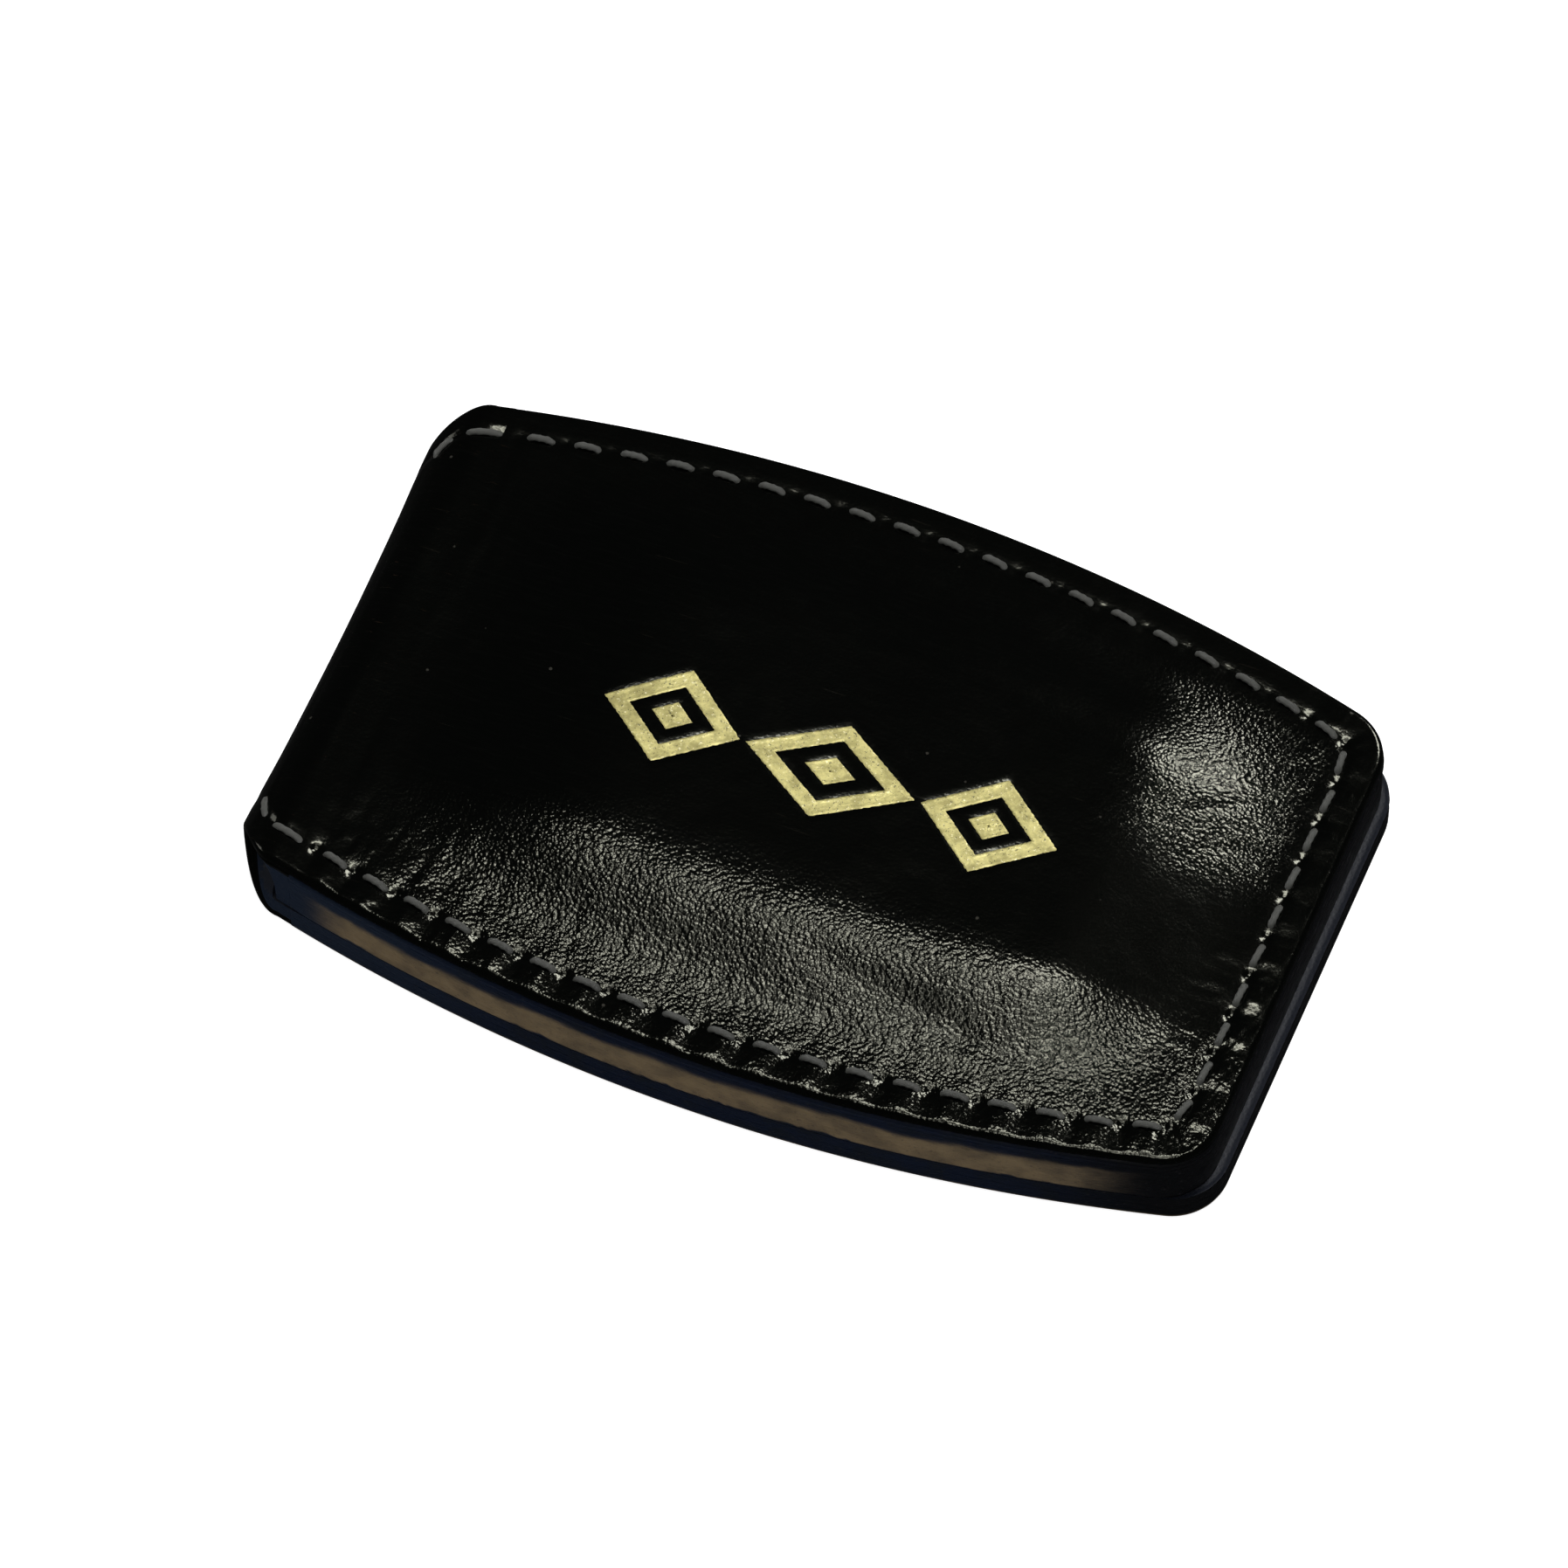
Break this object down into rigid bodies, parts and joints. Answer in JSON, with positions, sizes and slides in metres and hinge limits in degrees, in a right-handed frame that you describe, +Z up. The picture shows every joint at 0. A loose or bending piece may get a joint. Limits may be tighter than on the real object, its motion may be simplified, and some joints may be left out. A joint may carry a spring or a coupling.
{
  "type": "magnetic money clip",
  "caption": "Folded leather money clip: padded upper leaf, flat lower leaf, stitched edges, gilt mark, opening at a flexible fold.",
  "frame": {"origin": "middle of the closed clip's footprint, on the surface it lies on", "axes": "+X from the fold to the free end, +Y across the clip, +Z up through the padded upper leaf"},
  "size_m": [0.0716, 0.0468, 0.0097],
  "materials": {
    "black_leather": "glossy black fine-grained leather",
    "edge_leather": "blue-black dyed and burnished leather edge",
    "tan_leather": "natural tan leather, smooth",
    "foam": "soft felted padding",
    "fibreboard": "grey pressed fibreboard",
    "magnet_nickel": "nickel plating",
    "keeper_steel": "plain steel strip",
    "thread": "charcoal waxed thread",
    "gilt_foil": "pale gold stamped foil, slightly worn"
  },
  "bodies": {
    "lower_leaf": {"lower_cover": "black_leather", "lower_welt": "edge_leather", "keeper_plate": "keeper_steel", "lower_lining": "tan_leather", "lower_cover_thread": "thread", "lower_lining_thread": "thread"},
    "fold_segment_1": {"fold_cover_1": "black_leather", "fold_lining_1": "tan_leather"},
    "fold_segment_2": {"fold_cover_2": "black_leather", "fold_lining_2": "tan_leather"},
    "fold_segment_3": {"fold_cover_3": "black_leather", "fold_lining_3": "tan_leather"},
    "fold_segment_4": {"fold_cover_4": "black_leather", "fold_lining_4": "tan_leather"},
    "fold_segment_5": {"fold_cover_5": "black_leather", "fold_lining_5": "tan_leather"},
    "upper_leaf": {"upper_lining": "tan_leather", "upper_welt": "edge_leather", "magnet_board": "fibreboard", "magnet_1": "magnet_nickel", "magnet_2": "magnet_nickel", "padding": "foam", "upper_cover": "black_leather", "upper_cover_thread": "thread", "upper_lining_thread": "thread", "gilt_frame_1": "gilt_foil", "gilt_heart_1": "gilt_foil", "gilt_frame_2": "gilt_foil", "gilt_heart_2": "gilt_foil", "gilt_frame_3": "gilt_foil", "gilt_heart_3": "gilt_foil"}
  },
  "joints": [
    {"name": "fold_hinge_1", "type": "hinge", "parent": "lower_leaf", "child": "fold_segment_1", "pos_m": [-0.0319, 0, 0], "axis": [0, -1, 0], "range_deg": [0, 17.1]},
    {"name": "fold_hinge_2", "type": "hinge", "parent": "fold_segment_1", "child": "fold_segment_2", "pos_m": [-0.03419, 0, 0.00074], "axis": [0, -1, 0], "range_deg": [0, 34.2]},
    {"name": "fold_hinge_3", "type": "hinge", "parent": "fold_segment_2", "child": "fold_segment_3", "pos_m": [-0.03561, 0, 0.00269], "axis": [0, -1, 0], "range_deg": [0, 34.2]},
    {"name": "fold_hinge_4", "type": "hinge", "parent": "fold_segment_3", "child": "fold_segment_4", "pos_m": [-0.03561, 0, 0.00511], "axis": [0, -1, 0], "range_deg": [0, 34.2]},
    {"name": "fold_hinge_5", "type": "hinge", "parent": "fold_segment_4", "child": "fold_segment_5", "pos_m": [-0.03419, 0, 0.00706], "axis": [0, -1, 0], "range_deg": [0, 34.2]},
    {"name": "fold_hinge_6", "type": "hinge", "parent": "fold_segment_5", "child": "upper_leaf", "pos_m": [-0.0319, 0, 0.0078], "axis": [0, -1, 0], "range_deg": [0, 17.1]}
  ],
  "couplings": [
    {"joint": "fold_hinge_1", "follows": "fold_hinge_6", "ratio": 1},
    {"joint": "fold_hinge_2", "follows": "fold_hinge_6", "ratio": 2},
    {"joint": "fold_hinge_3", "follows": "fold_hinge_6", "ratio": 2},
    {"joint": "fold_hinge_4", "follows": "fold_hinge_6", "ratio": 2},
    {"joint": "fold_hinge_5", "follows": "fold_hinge_6", "ratio": 2}
  ]
}
